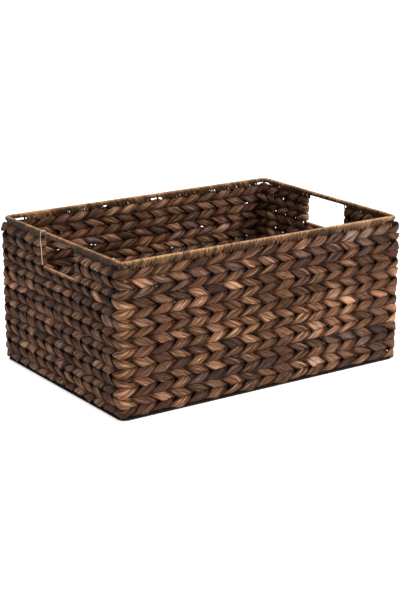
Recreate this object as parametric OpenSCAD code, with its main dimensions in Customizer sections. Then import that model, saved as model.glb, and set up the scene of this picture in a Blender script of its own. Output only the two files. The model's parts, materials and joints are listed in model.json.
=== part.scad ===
// Open-topped storage basket of water hyacinth, twined on a wire frame, with a hand opening
// under the rim rod in each end wall. The origin is on the floor under the middle of the
// basket, +X runs along the long walls and +Z up. All sizes are in millimetres.

/* [Wire frame] */
// Length of the frame, between the wire centre lines of the two end walls
frame_l = 434; // [360:1:530]
// Width of the frame, between the wire centre lines of the two long walls
frame_w = 296; // [240:1:370]
// Height of the rim rod's centre line above the floor
rim_h = 200; // [165:1:245]
// Plan radius of the frame's corners, on the wire centre line
corner_r = 7; // [7:0.5:14]
// Diameter of the rim rod
rim_rod_d = 4.5; // [3.6:0.1:5.4]
// Diameter of the rod round the foot
foot_rod_d = 3.4; // [3.2:0.1:3.6]
// Diameter of the four corner posts
post_d = 3; // [2.4:0.1:3.1]
// Diameter of the wall stakes
stake_d = 2.8; // [2.2:0.1:3.1]
// Diameter of the rods under the two hand openings
sill_rod_d = 3.4; // [3.2:0.1:4]
// Diameter of the rods across the base
cross_rod_d = 2.6; // [2:0.1:3.2]
// Depth to which a cross rod is welded into the foot rod
weld_bite = 0.15; // [0.05:0.05:0.3]

/* [Stake spacing] */
// Spaces between stakes along a long wall
long_spaces = 16; // [12:2:20]
// Spaces between stakes along an end wall
end_spaces = 12; // [10:2:14]
// Stake spaces that a hand opening takes up
grip_spaces = 4; // [2:2:6]

/* [Woven walls] */
// Thickness of the woven walls
wall_t = 12.4; // [10.4:0.2:15]
// Gap between the rim's wrap and the top course
rim_gap = 3.2; // [2:0.2:6]
// Gap between neighbouring courses, and between the base and the walls
course_gap = 0.3; // [0.1:0.1:0.8]
// How far the bottom course is tucked in, on the outside
foot_tuck = 2; // [0:0.5:3]
// Length of the opening that the two strands leave round a stake
eye_l = 10; // [8:0.5:11]
// Clearance round every rod and stake inside the weave
rod_clearance = 0.15; // [0.05:0.05:0.3]
// How far the rod under a hand opening presses the course below it down
sill_dip = 4.5; // [0:0.5:6]

/* [Wraps and bindings] */
// Outer diameter of the strip wound round the rim rod
rim_wrap_d = 6.6; // [6.2:0.1:8]
// Outer diameter of the strip wound round the rods under the hand openings
sill_wrap_d = 5.5; // [5:0.1:7]
// Height of the binding round the foot
foot_binding_h = 4.2; // [4.1:0.1:5.2]
// How far the foot binding stands outside the wire's centre line
foot_binding_out = 4.4; // [3:0.2:6]
// Gap between one length of wrap and the next
wrap_gap = 0.3; // [0.1:0.1:1]
// Length of a lashing, measured along the rim
lashing_l = 13; // [8:0.5:16]
// Thickness of a lashing, measured across the wall
lashing_t = 7; // [5:0.5:9]
// Diameter of the pale thread tied at one jamb
thread_d = 0.9; // [0.6:0.1:1.2]

/* [Hidden] */
COURSES = 15;
GRIP_COURSES = 3;
BASE_PAIRS = 11;
LEFT = -1;
RIGHT = 1;
FRONT = -1;
BACK = 1;

weave_brown = "#5b3a26";
weave_dark = "#46291a";
wrap_tan = "#8a623c";
wire_black = "#2b2522";
thread_pale = "#d9cdbb";
$fn = 48;

// Corner posts stand in the middle of the corner bends, and the stakes divide the space
// between two posts evenly
post_x = frame_l / 2 - corner_r * (1 - cos(45));
post_y = frame_w / 2 - corner_r * (1 - cos(45));
long_pitch = 2 * post_x / long_spaces;
end_pitch = 2 * post_y / end_spaces;
jamb_y = end_pitch * grip_spaces / 2;

// Heights
foot_z = foot_binding_h / 2;
cross_z = foot_z + (foot_rod_d + cross_rod_d) / 2 - weld_bite;
weave_top = rim_h - rim_wrap_d / 2 - rim_gap;
course_pitch = (weave_top - foot_binding_h) / COURSES;
course_h = course_pitch - course_gap;
sill_z = weave_top - GRIP_COURSES * course_pitch + sill_wrap_d / 2 - sill_dip;

// The base fits inside the walls, and lies evenly above and below its cross rods
base_inset = wall_t / 2 + course_gap;
base_t = 2 * cross_z;
base_course_w = (frame_w - 2 * base_inset) / (2 * BASE_PAIRS);

// The thread goes over the rim beside the jamb's lashing, and hangs clear of the course ends
// that bulge round the jamb
thread_out = max(rim_wrap_d, lashing_t) / 2 + thread_d / 2 + rod_clearance;
thread_from_jamb = sqrt(pow(wall_t / 2 + thread_d / 2 + rod_clearance, 2) - pow(thread_out, 2));
thread_drop = 41;

function two_digits(i) = str(i < 10 ? "0" : "", i);
function course_name(i) = str("course_", two_digits(i));
function base_name(i) = str("base_pair_", two_digits(i));
function stake_x(k) = k * long_pitch - post_x;
function stake_y(k) = k * end_pitch - post_y;
function course_z(i) = weave_top - i * course_pitch + course_gap / 2;

// ---- shapes that several pieces share ----

// Plan of the frame, "out" millimetres outside the wire's centre line
module plan(out) {
    hx = frame_l / 2 + out;
    hy = frame_w / 2 + out;
    r = max(corner_r + out, 0.5);
    square([2 * hx, 2 * (hy - r)], center = true);
    square([2 * (hx - r), 2 * hy], center = true);
    for (x = [-1, 1], y = [-1, 1])
        translate([x * (hx - r), y * (hy - r)]) circle(r = r);
}

// Straight run over a long wall
module long_run(d, side) {
    h = frame_l - 2 * corner_r;
    translate([-h / 2, side * frame_w / 2, 0]) rotate([0, 90, 0]) cylinder(d = d, h = h);
}

// Straight run over an end wall, between two places on it
module end_run(d, side, y0, y1) {
    translate([side * frame_l / 2, y0, 0]) rotate([-90, 0, 0]) cylinder(d = d, h = y1 - y0);
}

// Quarter bend over one corner
module bend(d, side_x, side_y) {
    translate([side_x * (frame_l / 2 - corner_r), side_y * (frame_w / 2 - corner_r), 0])
        mirror([side_x < 0 ? 1 : 0, 0, 0]) mirror([0, side_y < 0 ? 1 : 0, 0])
            rotate_extrude(angle = 90) translate([corner_r, 0]) circle(d = d);
}

// Closed rod round the whole frame
module ring(d, z) {
    straight_y = frame_w / 2 - corner_r;
    translate([0, 0, z]) {
        for (side = [-1, 1]) {
            long_run(d, side);
            end_run(d, side, -straight_y, straight_y);
        }
        for (x = [-1, 1], y = [-1, 1]) bend(d, x, y);
    }
}

// Upright from the foot rod's centre line to another height
module upright(d, x, y, z) {
    translate([x, y, foot_z]) cylinder(d = d, h = z - foot_z);
}

module long_wall_uprights(d, side) {
    for (k = [1:long_spaces - 1]) upright(d, stake_x(k), side * frame_w / 2, rim_h);
}

// Full-height stakes of an end wall, beyond the hand opening on one side of it
module end_wall_uprights(d, side, half) {
    for (k = [(end_spaces + grip_spaces) / 2:end_spaces - 1])
        upright(d, side * frame_l / 2, half * stake_y(k), rim_h);
}

// Short stakes under a hand opening
module sill_uprights(d, side) {
    for (k = [(end_spaces - grip_spaces) / 2 + 1:(end_spaces + grip_spaces) / 2 - 1])
        upright(d, side * frame_l / 2, stake_y(k), sill_z);
}

module post_uprights(d) {
    for (x = [-1, 1], y = [-1, 1]) upright(d, x * post_x, y * post_y, rim_h);
}

module all_uprights(extra) {
    post_uprights(post_d + extra);
    for (side = [-1, 1]) {
        long_wall_uprights(stake_d + extra, side);
        sill_uprights(stake_d + extra, side);
        for (half = [-1, 1]) end_wall_uprights(stake_d + extra, side, half);
    }
}

module sill_bars(d, side) {
    translate([0, 0, sill_z]) end_run(d, side, -jamb_y, jamb_y);
}

module cross_bars(d) {
    for (k = [0:long_spaces - 1])
        translate([stake_x(k) + long_pitch / 2, -frame_w / 2, cross_z])
            rotate([-90, 0, 0]) cylinder(d = d, h = frame_w);
}

// Pointed eye that a pair of strands leaves round a rod
module eye(rod_d) {
    r = rod_d / 2 + rod_clearance;
    a = eye_l / 2;
    b = r * a / sqrt(a * a - r * r);
    polygon([[a, 0], [0, b], [-a, 0], [0, -b]]);
}

module wall_eyes() {
    for (k = [1:long_spaces - 1], side = [-1, 1])
        translate([stake_x(k), side * frame_w / 2]) eye(stake_d);
    for (k = [1:end_spaces - 1], side = [-1, 1])
        translate([side * frame_l / 2, stake_y(k)]) rotate(90) eye(stake_d);
    for (x = [-1, 1], y = [-1, 1])
        translate([x * post_x, y * post_y]) rotate(-45 * x * y) eye(post_d);
}

// ---- wire frame ----

module rim_rod() {
    color(wire_black) ring(rim_rod_d, rim_h);
}

module foot_rod() {
    color(wire_black) ring(foot_rod_d, foot_z);
}

// Uprights are shaped to the rods that they are welded to
module welded_uprights() {
    color(wire_black) difference() {
        children();
        ring(rim_rod_d, rim_h);
        ring(foot_rod_d, foot_z);
    }
}

module corner_posts() {
    welded_uprights() post_uprights(post_d);
}

module long_wall_stakes(side) {
    welded_uprights() long_wall_uprights(stake_d, side);
}

module end_wall_stakes(side, half) {
    welded_uprights() end_wall_uprights(stake_d, side, half);
}

module sill_stakes(side) {
    welded_uprights() difference() {
        sill_uprights(stake_d, side);
        sill_bars(sill_rod_d, side);
    }
}

// The sill rod is welded between the two jamb stakes
module sill_rod(side) {
    color(wire_black) difference() {
        sill_bars(sill_rod_d, side);
        for (half = [-1, 1]) end_wall_uprights(stake_d, side, half);
    }
}

module cross_rods() {
    color(wire_black) difference() {
        cross_bars(cross_rod_d);
        ring(foot_rod_d, foot_z);
    }
}

// ---- woven walls ----

// One course of the weave, a pair of strands that runs right round the basket
module course(i) {
    tuck = i == COURSES ? foot_tuck : 0;
    color(i % 2 == 0 ? weave_dark : weave_brown) difference() {
        translate([0, 0, course_z(i)]) linear_extrude(course_h) difference() {
            plan(wall_t / 2 - tuck);
            plan(-wall_t / 2);
            wall_eyes();
        }
        if (i == COURSES) cross_bars(cross_rod_d + 2 * rod_clearance);
        if (i == GRIP_COURSES + 1)
            for (side = [-1, 1]) {
                sill_bars(sill_rod_d + 2 * rod_clearance, side);
                pressed_down(side);
            }
    }
}

// Room over the part of a course that the wound rod of a hand opening presses down
module pressed_down(side) {
    translate([side * frame_l / 2, 0, sill_z - sill_wrap_d / 2 - rod_clearance + course_h / 2])
        cube([2 * wall_t, 2 * jamb_y - wall_t - wrap_gap, course_h], center = true);
}

// A course that the hand openings interrupt, and that turns back round the jamb stakes
module half_course(i, half) {
    color(i % 2 == 0 ? weave_dark : weave_brown) difference() {
        translate([0, 0, course_z(i)]) linear_extrude(course_h) difference() {
            union() {
                intersection() {
                    difference() {
                        plan(wall_t / 2);
                        plan(-wall_t / 2);
                    }
                    translate([0, half * (jamb_y + frame_w / 2)])
                        square([2 * frame_l, frame_w], center = true);
                }
                for (x = [-1, 1]) translate([x * frame_l / 2, half * jamb_y]) circle(d = wall_t);
            }
            wall_eyes();
        }
        if (i == GRIP_COURSES)
            for (side = [-1, 1]) sill_bars(sill_rod_d + 2 * rod_clearance, side);
    }
}

// ---- woven base ----

// One course of the base, a bar with an eye for each cross rod
module base_course() {
    rotate([90, 0, 0]) linear_extrude(base_course_w - course_gap, center = true) difference() {
        translate([-frame_l / 2, 0]) square([frame_l, base_t]);
        for (k = [0:long_spaces - 1])
            translate([stake_x(k) + long_pitch / 2, cross_z]) eye(cross_rod_d);
    }
}

// Two courses that lean opposite ways and read as one row of arrowheads
module base_pair(i) {
    color(i % 2 == 0 ? weave_dark : weave_brown) intersection() {
        for (n = [0, 1])
            translate([0, (2 * i - 1.5 + n) * base_course_w + base_inset - frame_w / 2, 0])
                base_course();
        linear_extrude(base_t) plan(-base_inset);
    }
}

// ---- wraps, lashings and bindings ----

// Strip wound round a rod, with a way in for each upright that meets it
module wound_round(rod_d, z) {
    color(wrap_tan) difference() {
        translate([0, 0, z]) children();
        ring(rod_d + 2 * rod_clearance, z);
        all_uprights(2 * rod_clearance);
    }
}

module rim_wrap_long(side) {
    wound_round(rim_rod_d, rim_h) {
        long_run(rim_wrap_d, side);
        bend(rim_wrap_d, LEFT, side);
        bend(rim_wrap_d, RIGHT, side);
    }
}

module rim_wrap_end(side) {
    y0 = jamb_y + wrap_gap / 2;
    y1 = frame_w / 2 - corner_r - wrap_gap;
    wound_round(rim_rod_d, rim_h) {
        end_run(rim_wrap_d, side, y0, y1);
        end_run(rim_wrap_d, side, -y1, -y0);
    }
}

module grip_wrap(side) {
    y = jamb_y - wrap_gap / 2;
    wound_round(rim_rod_d, rim_h) end_run(rim_wrap_d, side, -y, y);
}

module sill_wrap(side) {
    y = jamb_y - wall_t / 2 - wrap_gap;
    color(wrap_tan) difference() {
        translate([0, 0, sill_z]) end_run(sill_wrap_d, side, -y, y);
        sill_bars(sill_rod_d + 2 * rod_clearance, side);
        sill_uprights(stake_d + 2 * rod_clearance, side);
    }
}

// Lashings fill the gap under the rim where the strands loop over it at a stake
module lashed() {
    color(weave_dark) difference() {
        children();
        ring(rim_wrap_d + 2 * rod_clearance, rim_h);
        all_uprights(2 * rod_clearance);
    }
}

module lashing(x, y, turn) {
    z = weave_top + rod_clearance;
    translate([x, y, (z + rim_h) / 2]) rotate(turn)
        cube([lashing_l, lashing_t, rim_h - z], center = true);
}

module lashings_long(side) {
    lashed() for (k = [1:long_spaces - 1]) lashing(stake_x(k), side * frame_w / 2, 0);
}

module lashings_end(side) {
    lashed() for (k = [(end_spaces + grip_spaces) / 2:end_spaces - 1], half = [-1, 1])
        lashing(side * frame_l / 2, half * stake_y(k), 90);
}

// Flat binding over the foot rod, on which the basket stands
module foot_binding() {
    color(weave_dark) difference() {
        linear_extrude(foot_binding_h - rod_clearance) difference() {
            plan(foot_binding_out);
            plan(-wall_t / 2);
        }
        ring(foot_rod_d + 2 * rod_clearance, foot_z);
        all_uprights(2 * rod_clearance);
        cross_bars(cross_rod_d + 2 * rod_clearance);
    }
}

// Pale thread tied over the rim at the back jamb of the left opening, with its end hanging
module jamb_thread() {
    color(thread_pale) translate([LEFT * frame_l / 2, jamb_y - thread_from_jamb, rim_h]) {
        rotate([90, 0, 0]) rotate_extrude(angle = 180) translate([thread_out, 0]) circle(d = thread_d);
        translate([-thread_out, 0, 0]) sphere(d = thread_d * 2);
        translate([-thread_out, 0, -thread_drop]) cylinder(d = thread_d, h = thread_drop);
    }
}

rim_rod();
foot_rod();
corner_posts();
long_wall_stakes(FRONT);  // front_stakes
long_wall_stakes(BACK);  // back_stakes
end_wall_stakes(LEFT, FRONT);  // left_stakes_front
end_wall_stakes(LEFT, BACK);  // left_stakes_back
end_wall_stakes(RIGHT, FRONT);  // right_stakes_front
end_wall_stakes(RIGHT, BACK);  // right_stakes_back
sill_stakes(LEFT);  // left_sill_stakes
sill_stakes(RIGHT);  // right_sill_stakes
sill_rod(LEFT);  // left_sill_rod
sill_rod(RIGHT);  // right_sill_rod
cross_rods();
for (i = [1:GRIP_COURSES]) {
    half_course(i, FRONT);
    half_course(i, BACK);
}
for (i = [GRIP_COURSES + 1:COURSES])
    course(i);
for (i = [1:BASE_PAIRS])
    base_pair(i);
rim_wrap_long(FRONT);  // rim_wrap_front
rim_wrap_long(BACK);  // rim_wrap_back
rim_wrap_end(LEFT);  // rim_wrap_left
rim_wrap_end(RIGHT);  // rim_wrap_right
grip_wrap(LEFT);  // left_grip_wrap
grip_wrap(RIGHT);  // right_grip_wrap
sill_wrap(LEFT);  // left_sill_wrap
sill_wrap(RIGHT);  // right_sill_wrap
lashings_long(FRONT);  // lashings_front
lashings_long(BACK);  // lashings_back
lashings_end(LEFT);  // lashings_left
lashings_end(RIGHT);  // lashings_right
foot_binding();
jamb_thread();
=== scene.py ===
"""Open storage basket of dyed water hyacinth, twined on a lacquered wire frame.

Every strand is a mesh of its own real shape. The wire frame is taken as it is, and the places of
the strands, strips and lashings are worked out from its sizes."""
import json
import math

import bpy
import numpy as np
from bpy.props import FloatProperty, FloatVectorProperty, IntProperty, PointerProperty
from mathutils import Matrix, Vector


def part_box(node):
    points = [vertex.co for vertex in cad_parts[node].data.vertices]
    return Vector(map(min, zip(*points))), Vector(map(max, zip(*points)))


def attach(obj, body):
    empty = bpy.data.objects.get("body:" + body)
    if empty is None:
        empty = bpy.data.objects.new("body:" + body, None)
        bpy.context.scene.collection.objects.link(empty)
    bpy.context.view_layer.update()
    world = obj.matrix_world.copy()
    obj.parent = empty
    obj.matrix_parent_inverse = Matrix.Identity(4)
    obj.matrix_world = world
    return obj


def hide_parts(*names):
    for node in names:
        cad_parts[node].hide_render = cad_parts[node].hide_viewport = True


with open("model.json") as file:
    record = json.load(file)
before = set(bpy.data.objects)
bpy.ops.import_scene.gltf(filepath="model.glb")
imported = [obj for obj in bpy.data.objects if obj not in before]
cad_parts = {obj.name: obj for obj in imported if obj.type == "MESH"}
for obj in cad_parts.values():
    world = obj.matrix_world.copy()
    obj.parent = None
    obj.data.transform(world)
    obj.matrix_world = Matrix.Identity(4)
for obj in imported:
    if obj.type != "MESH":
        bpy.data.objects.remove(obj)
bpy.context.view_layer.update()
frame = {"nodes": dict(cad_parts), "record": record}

bl_info = {
    "name": "Twined Basket",
    "version": (1, 0, 0),
    "blender": (4, 5, 0),
    "location": "View3D > Sidebar > Basket",
    "description": "Makes a water hyacinth basket twined on a wire frame",
    "category": "Add Mesh",
}

BODY = "root"
MM = 0.001

# ---- sizes read from the frame ----

RIM_LO, RIM_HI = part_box("rim_rod")
RIM_Z = (RIM_LO.z + RIM_HI.z) / 2
RIM_ROD_R = (RIM_HI.z - RIM_LO.z) / 2
HALF_L = RIM_HI.x - RIM_ROD_R
HALF_W = RIM_HI.y - RIM_ROD_R
CORNER_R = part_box("rim_wrap_front")[1].y + HALF_W
WRAP_R = (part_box("left_grip_wrap")[1].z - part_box("left_grip_wrap")[0].z) / 2
SILL_WRAP_R = (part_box("left_sill_wrap")[1].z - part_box("left_sill_wrap")[0].z) / 2
STAKE_R = (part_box("front_stakes")[1].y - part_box("front_stakes")[0].y) / 2
WALL_HALF_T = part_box("course_04")[1].x - HALF_L
JAMB_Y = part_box("left_stakes_back")[0].y + STAKE_R
BINDING_LO, BINDING_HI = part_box("foot_binding")

COURSES = 15
GRIP_COURSES = 3
BASE_PAIRS = 11
LONG_STAKES = 15
END_STAKES = 11
CROSS_RODS = 16

POST_INSET = CORNER_R * (1 - math.cos(math.radians(45)))
POST_X = HALF_L - POST_INSET
POST_Y = HALF_W - POST_INSET
LONG_PITCH = 2 * POST_X / (LONG_STAKES + 1)
END_PITCH = 2 * POST_Y / (END_STAKES + 1)
JAMB_STAKE = round(JAMB_Y / END_PITCH)

# where the random numbers of each craft start
SEEDS = {"walls": 100, "base": 300, "rim": 500, "sills": 520, "lashings": 600, "foot": 700}


def hex_linear(text):
    """Linear colour from an sRGB hex value."""
    channels = [int(text[i:i + 2], 16) / 255 for i in (1, 3, 5)]
    return tuple(c / 12.92 if c <= 0.04045 else ((c + 0.055) / 1.055) ** 2.4 for c in channels)


# ---- settings that a user would change ----

def mm_setting(name, description, mm):
    return FloatProperty(name=name, description=description, default=mm * MM, unit="LENGTH")


def share_setting(name, description, default, highest, lowest=0.0):
    return FloatProperty(name=name, description=description, default=default, min=lowest, max=highest)


def angle_setting(name, description, degrees):
    return FloatProperty(
        name=name, description=description, default=math.radians(degrees), subtype="ANGLE")


def power_setting(name, description, watts):
    return FloatProperty(name=name, description=description, default=watts, unit="POWER")


def count_setting(name, description, default, lowest):
    return IntProperty(name=name, description=description, default=default, min=lowest)


def colour_setting(name, description, text):
    return FloatVectorProperty(
        name=name, description=description, default=hex_linear(text), subtype="COLOR")


class BasketWeave(bpy.types.PropertyGroup):
    """Sizes of one twined strand, and how uneven the weaver's hand is"""
    crown_out: mm_setting("Crown offset", "From a stake's axis to the middle of the strand over it", 3.8)
    crown_half_t: mm_setting(
        "Crown half thickness", "Half the strand's thickness where it passes a stake", 2.5)
    crown_half_w: mm_setting("Crown half width", "Half the strand's width where it passes a stake", 6.5)
    waist_rise: mm_setting(
        "Waist rise", "How far a strand stands above its course's middle where the two cross", 3.2)
    waist_half_t: mm_setting(
        "Waist half thickness", "Half the strand's thickness where the two cross", 3.6)
    waist_half_w: mm_setting("Waist half width", "Half the strand's width where the two cross", 5.0)
    pinch: mm_setting(
        "Pinch", "How much narrower a strand is halfway between a stake and a crossing", 0.7)
    face_on: share_setting(
        "Face on", "How long a strand's face looks straight out before it turns over", 0.32, 0.5)
    flat_face: share_setting(
        "Flat face", "Below 1, a strand stays near the wall's face and dives late", 0.75, 1.5, lowest=0.4)
    thin_edge: share_setting(
        "Thin edge", "How much a strand thins towards its edges over a stake", 0.35, 1.0)
    # painted shade: how much the colour is darkened towards a strand's edges
    painted_edge_shade: share_setting(
        "Dark edge", "How much the dye darkens towards a strand's edges", 0.85, 1.0)
    press: share_setting(
        "Press", "How much the rod of a hand opening flattens the course below it", 0.28, 0.5)
    ridge: share_setting(
        "Ridge depth", "Depth of the lengthwise folds, as a share of the strand's radius", 0.17, 0.4)
    uneven: share_setting(
        "Unevenness", "How much the width of one leaf differs from the next", 0.14, 0.5)
    wander: mm_setting("Wander", "How far one leaf strays up or down", 0.5)
    roll: angle_setting("Roll", "How far one leaf turns about its own axis", 12)
    corner_out: mm_setting("Outer corner", "Bend of a strand that passes outside a corner post", 5.5)
    corner_in: mm_setting("Inner corner", "Bend of a strand that passes inside a corner post", 2.5)
    rings: count_setting("Rings", "Rings from one stake to the next", 12, 6)
    face_sides: count_setting("Face sides", "Sides of a strand's outer face", 14, 6)
    back_sides: count_setting("Back sides", "Sides of a strand's hidden face", 6, 4)


class BasketWraps(bpy.types.PropertyGroup):
    """Sizes of the strips wound round the rods, and of the lashings"""
    pitch: mm_setting("Wrap pitch", "From one turn of the rim's strip to the next", 2.5)
    groove: share_setting("Groove", "Depth between two turns, as a share of the wrap's radius", 0.2, 0.5)
    binding_pitch: mm_setting("Foot binding pitch", "From one turn of the foot binding to the next", 6.0)
    binding_groove: share_setting(
        "Foot binding groove", "Depth between two turns of the foot binding", 0.10, 0.5)
    strip_w: mm_setting("Lashing strip width", "Width of one strip of a lashing", 2.5)
    strip_t: mm_setting("Lashing strip thickness", "Thickness of one strip of a lashing", 0.55)
    tuck: mm_setting("Lashing tuck", "How far a lashing reaches down into the top course", 1.4)


class BasketColours(bpy.types.PropertyGroup):
    """Colours of the fibre, the frame and the floor"""
    espresso: colour_setting("Espresso", "Darkest dyed stalk", "#1e0e07")
    umber: colour_setting("Umber", "Dark stalk", "#3d2315")
    brown: colour_setting("Brown", "Most of the stalks", "#603c25")
    tan: colour_setting("Tan", "Light stalk", "#8a6b55")
    straw: colour_setting("Straw", "Where the dye has worn off a ridge", "#c6a992")
    ochre: colour_setting("Ochre", "Wound and lashed strips, mostly", "#6b4a28")
    gold: colour_setting("Gold", "Lightest wound and lashed strips", "#9a7350")
    russet: colour_setting("Russet", "Reddish cast of some stalks", "#7d4926")
    slate: colour_setting("Slate", "Greyer cast of some stalks", "#5c4c46")
    wire: colour_setting("Wire", "Lacquered wire", "#1f1815")
    thread: colour_setting("Thread", "Undyed thread", "#d8cdbd")
    floor: colour_setting("Floor", "Floor", "#f4f3f1")


class BasketStage(bpy.types.PropertyGroup):
    """Camera and light"""
    azimuth: angle_setting("Azimuth", "Camera's turn from looking along +Y", -34.37)
    elevation: angle_setting("Elevation", "Camera's height above the horizon", 16.44)
    distance: mm_setting("Distance", "From the camera to its target", 2178.0)
    rise: mm_setting("Target rise", "The target's place above the basket's origin, in the view's plane", 80.1)
    lens: FloatProperty(name="Lens", description="Focal length in millimetres", default=94.3)
    key_power: power_setting("Key power", "Of the soft light in front, on the camera's right", 112.0)
    top_power: power_setting("Top power", "Of the soft light overhead", 40.0)
    room: share_setting("Room light", "Strength of the light from all round", 0.45, 2.0)


# ---- routes that strands and wraps follow ----

def rounded_rectangle(half_l, half_w, radius):
    """Straights and corner arcs, anticlockwise from the middle of the left end wall."""
    x, y = half_l - radius, half_w - radius
    return [
        ("line", (-half_l, 0), (-half_l, -y)),
        ("arc", (-x, -y), math.radians(180)),
        ("line", (-x, -half_w), (x, -half_w)),
        ("arc", (x, -y), math.radians(270)),
        ("line", (half_l, -y), (half_l, y)),
        ("arc", (x, y), 0.0),
        ("line", (x, half_w), (-x, half_w)),
        ("arc", (-x, y), math.radians(90)),
        ("line", (-half_l, y), (-half_l, 0)),
    ]


class WallRoute:
    """Centre line of the frame in plan, or a line beside it, measured by length."""

    def __init__(self, outset=0.0, radius=CORNER_R):
        self.radius = radius
        self.parts = rounded_rectangle(HALF_L + outset, HALF_W + outset, radius)
        lengths = [
            math.dist(a, b) if kind == "line" else self.radius * math.pi / 2
            for kind, a, b in self.parts
        ]
        self.starts = np.concatenate([[0.0], np.cumsum(lengths)])
        self.length = self.starts[-1]

    def at(self, s):
        """Point, outward normal and direction of travel at each length."""
        s = np.mod(np.asarray(s, float), self.length)
        point, normal, travel = (np.zeros((len(s), 3)) for _ in range(3))
        for n, (kind, a, b) in enumerate(self.parts):
            here = (s >= self.starts[n]) & (s <= self.starts[n + 1])
            along = s[here] - self.starts[n]
            if kind == "line":
                step = (np.array(b) - np.array(a)) / math.dist(a, b)
                xy = np.array(a) + along[:, None] * step
                t = np.tile(step, (len(along), 1))
            else:
                turn = b + along / self.radius
                xy = np.array(a) + self.radius * np.stack([np.cos(turn), np.sin(turn)], 1)
                t = np.stack([-np.sin(turn), np.cos(turn)], 1)
            point[here, :2] = xy
            travel[here, :2] = t
            normal[here, 0] = t[:, 1]
            normal[here, 1] = -t[:, 0]
        return point, normal, travel

    def stakes(self):
        """Lengths at which the stakes and corner posts stand, in order."""
        half_arc = self.radius * math.pi / 4
        walls = ((2, LONG_STAKES, LONG_PITCH), (4, END_STAKES, END_PITCH), (6, LONG_STAKES, LONG_PITCH))
        found = [n * END_PITCH for n in range(END_STAKES // 2 + 1)]
        for part, stakes, pitch in walls:
            middle = (self.starts[part] + self.starts[part + 1]) / 2
            found.append(self.starts[part - 1] + half_arc)
            found += [middle + (n - stakes // 2) * pitch for n in range(stakes)]
        found.append(self.starts[7] + half_arc)
        found += [self.length - n * END_PITCH for n in range(END_STAKES // 2, 0, -1)]
        return np.array(found)


class StakeRoute:
    """The wall's route measured in stakes: a whole number is a stake.

    It has three rails, for strands inside, over and outside the wire, as a strand bends more
    sharply round a corner post than a line parallel to the rim would."""

    up = np.array([0.0, 0.0, 1.0])

    def __init__(self, look, outset=0.0):
        self.rails = [
            WallRoute(outset - look.crown_out, look.corner_in),
            WallRoute(outset),
            WallRoute(outset + look.crown_out, look.corner_out),
        ]
        self.places = [np.append(rail.stakes(), rail.length) for rail in self.rails]
        self.count = len(self.places[0]) - 1

    def rail(self, n, k):
        turns = np.floor(np.asarray(k) / self.count)
        s = np.interp(np.asarray(k) - turns * self.count, np.arange(self.count + 1), self.places[n])
        return self.rails[n].at(s)

    def at(self, k):
        return self.rail(1, k)

    def beside(self, k, share):
        """Point and normal at a share of the way from the wire to the outer rail, or inwards if negative."""
        inner, middle, outer = (self.rail(n, k) for n in range(3))
        away, part = (share > 0)[:, None], np.abs(share)[:, None]
        point = middle[0] + part * (np.where(away, outer[0], inner[0]) - middle[0])
        normal = unit(middle[1] * (1 - part) + part * np.where(away, outer[1], inner[1]))
        return point, normal


class BarRoute:
    """A straight bar of the base along +X, measured in cross rods: a whole number is a rod."""

    up = np.array([0.0, 1.0, 0.0])

    def __init__(self, y, z, first_x, reach):
        self.start = np.array([first_x, y, z])
        self.reach = reach

    def at(self, k):
        k = np.asarray(k, float)
        point = self.start + k[:, None] * np.array([LONG_PITCH, 0.0, 0.0])
        normal = np.tile([0.0, 0.0, 1.0], (len(k), 1))
        travel = np.tile([1.0, 0.0, 0.0], (len(k), 1))
        return point, normal, travel

    def beside(self, k, share):
        point, normal, _ = self.at(k)
        return point + normal * (self.reach * share)[:, None], normal


# ---- meshes ----

def unit(v):
    return v / np.linalg.norm(v, axis=-1, keepdims=True)


def ease(values, k):
    """Values given at whole numbers, joined smoothly, and repeated past the last."""
    i = np.floor(k).astype(int)
    f = (k - i)
    f = f * f * (3 - 2 * f)
    n = len(values)
    if values.ndim == 2:
        f = f[:, None]
    return values[i % n] * (1 - f) + values[(i + 1) % n] * f


def ring_angles(look):
    """Angles of a strand's points round its section, closer together on its outer face."""
    face, back = math.radians(80), math.radians(100)
    return np.concatenate([
        np.linspace(-face, face, look.face_sides + 1),
        np.linspace(back, 2 * math.pi - back, look.back_sides - 1),
    ])


# power by which the painted shade of an edge fades towards the middle of a strand's face
EDGE_FADE = 4


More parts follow.
